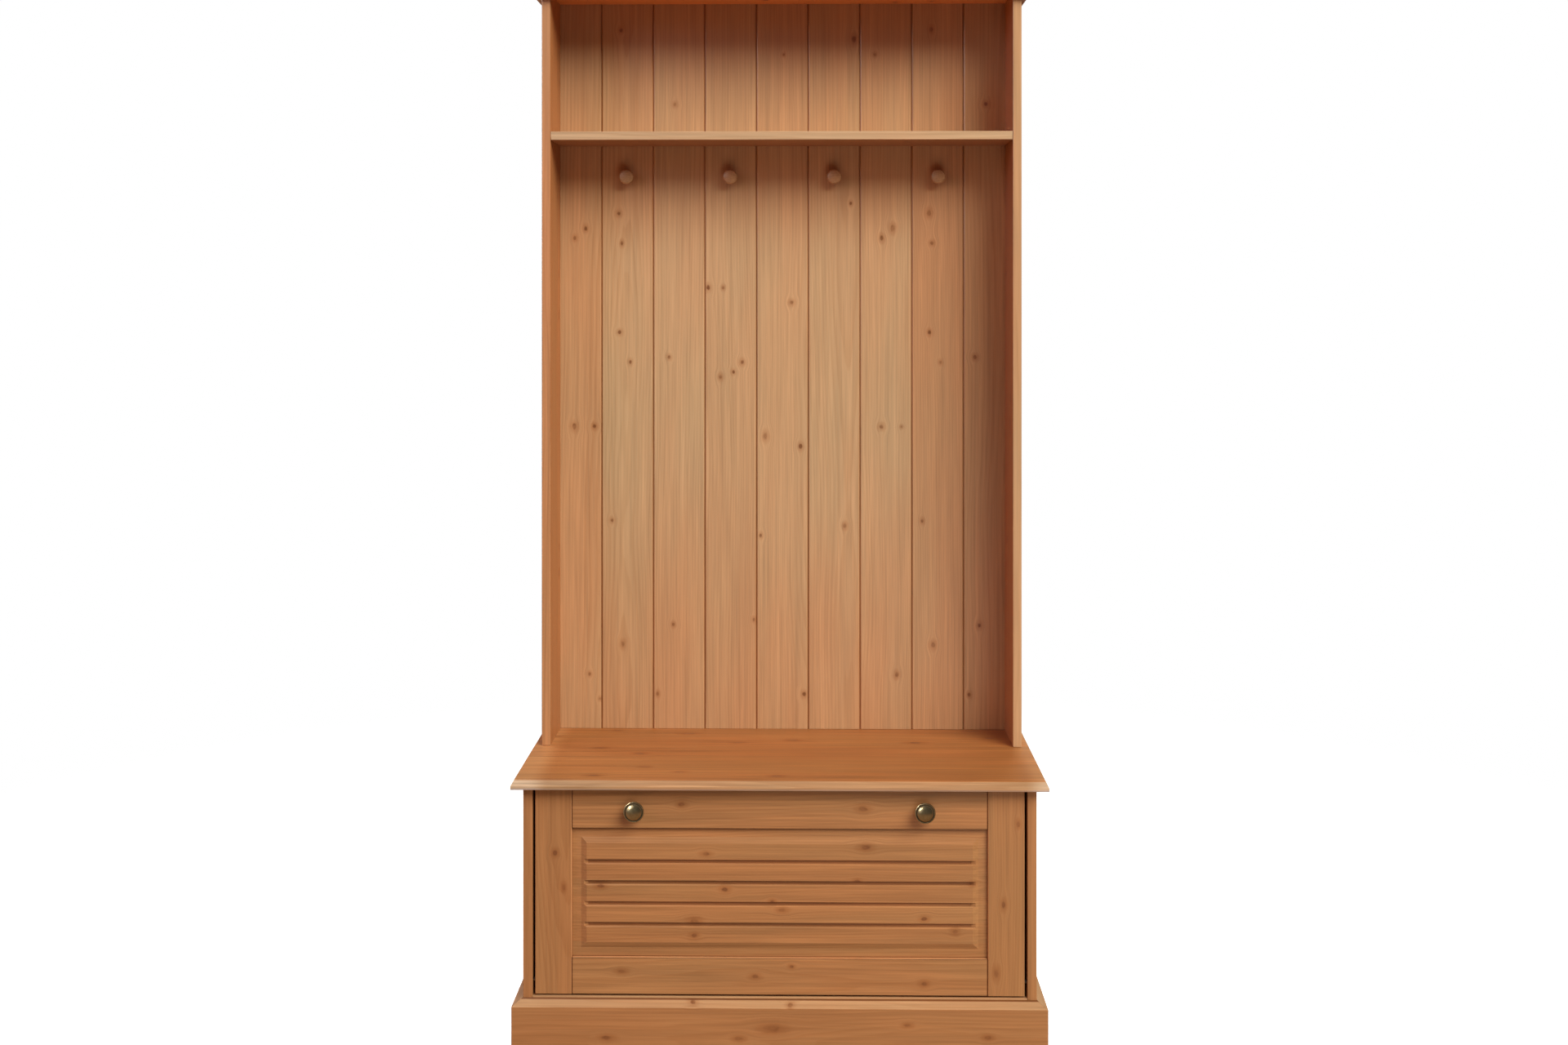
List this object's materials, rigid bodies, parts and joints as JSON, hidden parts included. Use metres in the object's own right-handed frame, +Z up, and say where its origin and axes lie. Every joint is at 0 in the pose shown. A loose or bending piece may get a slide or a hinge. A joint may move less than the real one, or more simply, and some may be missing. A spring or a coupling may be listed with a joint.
{
  "type": "hall stand",
  "caption": "Pine hall stand: bench cabinet with a tip-out shoe flap under a tongue-and-groove coat panel with turned pegs, a hat shelf and a cornice.",
  "frame": {"origin": "on the floor, at the middle of the stand's outer box", "axes": "+X to the right seen from the front, +Y towards the wall, +Z up; the front faces -Y"},
  "size_m": [0.97, 0.385, 1.98],
  "materials": {
    "stained_pine": "knotty pine, stained orange-brown, satin lacquer",
    "inner_pine": "plain pine inside the cabinet, thin lacquer",
    "beech_dowel": "bare beech",
    "antique_brass": "darkened antique brass, rubbed brighter on the high spots",
    "zinc_steel": "zinc-plated steel",
    "nylon_bush": "natural nylon"
  },
  "bodies": {
    "stand": {"back_board_1": "stained_pine", "back_board_2": "stained_pine", "back_board_3": "stained_pine", "back_board_4": "stained_pine", "back_board_5": "stained_pine", "back_board_6": "stained_pine", "back_board_7": "stained_pine", "back_board_8": "stained_pine", "back_board_9": "stained_pine", "base_back": "inner_pine", "base_floor": "inner_pine", "base_side_left": "stained_pine", "base_side_right": "stained_pine", "bench_top": "stained_pine", "coat_peg_1": "stained_pine", "coat_peg_2": "stained_pine", "coat_peg_3": "stained_pine", "coat_peg_4": "stained_pine", "cornice_front": "stained_pine", "cornice_left": "stained_pine", "cornice_right": "stained_pine", "foot_dowel_left_1": "beech_dowel", "foot_dowel_left_2": "beech_dowel", "foot_dowel_right_1": "beech_dowel", "foot_dowel_right_2": "beech_dowel", "hat_shelf": "stained_pine", "pivot_pin_left": "zinc_steel", "pivot_pin_right": "zinc_steel", "plinth_front": "stained_pine", "plinth_left": "stained_pine", "plinth_right": "stained_pine", "shelf_dowel_left_1": "beech_dowel", "shelf_dowel_left_2": "beech_dowel", "shelf_dowel_right_1": "beech_dowel", "shelf_dowel_right_2": "beech_dowel", "stop_pin_left": "zinc_steel", "stop_pin_right": "zinc_steel", "top_panel": "stained_pine", "upper_side_left": "stained_pine", "upper_side_right": "stained_pine"},
    "flap": {"flap_panel": "stained_pine", "flap_rail_bottom": "stained_pine", "flap_rail_top": "stained_pine", "flap_stile_left": "stained_pine", "flap_stile_right": "stained_pine", "knob_left": "antique_brass", "knob_right": "antique_brass", "knob_screw_left": "zinc_steel", "knob_screw_right": "zinc_steel", "pivot_bush_left": "nylon_bush", "pivot_bush_right": "nylon_bush", "tray_bracket_left": "inner_pine", "tray_bracket_right": "inner_pine", "tray_divider": "inner_pine", "tray_floor": "inner_pine", "tray_lip": "inner_pine"}
  },
  "joints": [
    {"name": "flap_tip", "type": "hinge", "parent": "stand", "child": "flap", "pos_m": [0, -0.156, 0.12], "axis": [1, 0, 0], "range_deg": [0, 42]}
  ]
}
